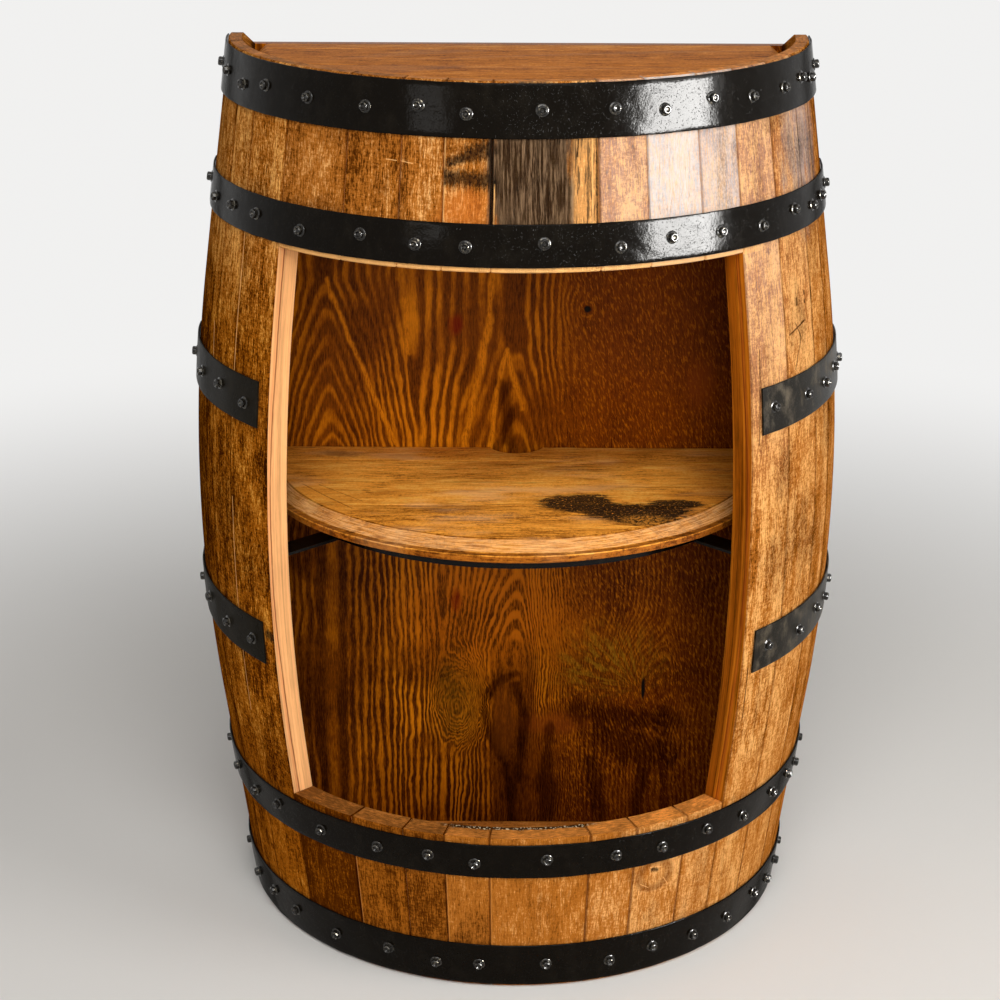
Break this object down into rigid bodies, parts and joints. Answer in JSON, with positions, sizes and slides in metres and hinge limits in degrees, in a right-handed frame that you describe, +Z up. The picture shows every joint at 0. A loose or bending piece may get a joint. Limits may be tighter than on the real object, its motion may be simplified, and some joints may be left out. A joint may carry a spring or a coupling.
{
  "type": "barrel cabinet",
  "caption": "Bar cabinet made from half an oak barrel: flat back, hooped staves, an open front with a half-round shelf on a steel band, and barrel heads as top and floor.",
  "frame": {"origin": "The middle of the bounding box seen from above, at the floor the cabinet stands on.", "axes": "+Z is up along the barrel's length, +Y points to the wall behind the flat back, -Y is the open front, and +X is the right side as seen from the front."},
  "size_m": [0.6632, 0.3226, 0.9],
  "materials": {
    "stave_oak": "satin varnish",
    "head_oak": "satin varnish",
    "shelf_oak": "satin varnish",
    "dowel_wood": "bare",
    "stained_plywood": "dark stain under satin varnish",
    "hoop_steel": "black gloss enamel",
    "hoop_screw_steel": "black gloss enamel",
    "bracket_steel": "black enamel",
    "zinc_screw_steel": "zinc plated"
  },
  "bodies": {
    "root": {"back_panel": "stained_plywood", "back_panel_screws": "zinc_screw_steel", "bottom_head_board_1": "head_oak", "bottom_head_board_2": "head_oak", "bottom_head_board_3": "head_oak", "head_dowels": "dowel_wood", "hoop_bilge_lower_left": "hoop_steel", "hoop_bilge_lower_right": "hoop_steel", "hoop_bilge_upper_left": "hoop_steel", "hoop_bilge_upper_right": "hoop_steel", "hoop_head_bottom": "hoop_steel", "hoop_head_top": "hoop_steel", "hoop_quarter_lower": "hoop_steel", "hoop_quarter_upper": "hoop_steel", "lower_stave_1": "stave_oak", "lower_stave_2": "stave_oak", "lower_stave_3": "stave_oak", "lower_stave_4": "stave_oak", "lower_stave_5": "stave_oak", "lower_stave_6": "stave_oak", "lower_stave_7": "stave_oak", "lower_stave_8": "stave_oak", "screws_bilge_lower_left": "hoop_screw_steel", "screws_bilge_lower_right": "hoop_screw_steel", "screws_bilge_upper_left": "hoop_screw_steel", "screws_bilge_upper_right": "hoop_screw_steel", "screws_head_bottom": "hoop_screw_steel", "screws_head_top": "hoop_screw_steel", "screws_quarter_lower": "hoop_screw_steel", "screws_quarter_upper": "hoop_screw_steel", "shelf_arm_left": "bracket_steel", "shelf_arm_right": "bracket_steel", "shelf_arm_screws": "hoop_screw_steel", "shelf_band": "bracket_steel", "shelf_board_1": "shelf_oak", "shelf_board_2": "shelf_oak", "shelf_board_3": "shelf_oak", "shelf_dowels": "dowel_wood", "side_stave_left_1": "stave_oak", "side_stave_left_2": "stave_oak", "side_stave_left_3": "stave_oak", "side_stave_left_4": "stave_oak", "side_stave_right_1": "stave_oak", "side_stave_right_2": "stave_oak", "side_stave_right_3": "stave_oak", "side_stave_right_4": "stave_oak", "side_stave_right_5": "stave_oak", "top_head_board_1": "head_oak", "top_head_board_2": "head_oak", "top_head_board_3": "head_oak", "top_head_board_4": "head_oak", "upper_stave_1": "stave_oak", "upper_stave_2": "stave_oak", "upper_stave_3": "stave_oak", "upper_stave_4": "stave_oak", "upper_stave_5": "stave_oak", "upper_stave_6": "stave_oak", "upper_stave_7": "stave_oak", "upper_stave_8": "stave_oak"}
  },
  "joints": []
}
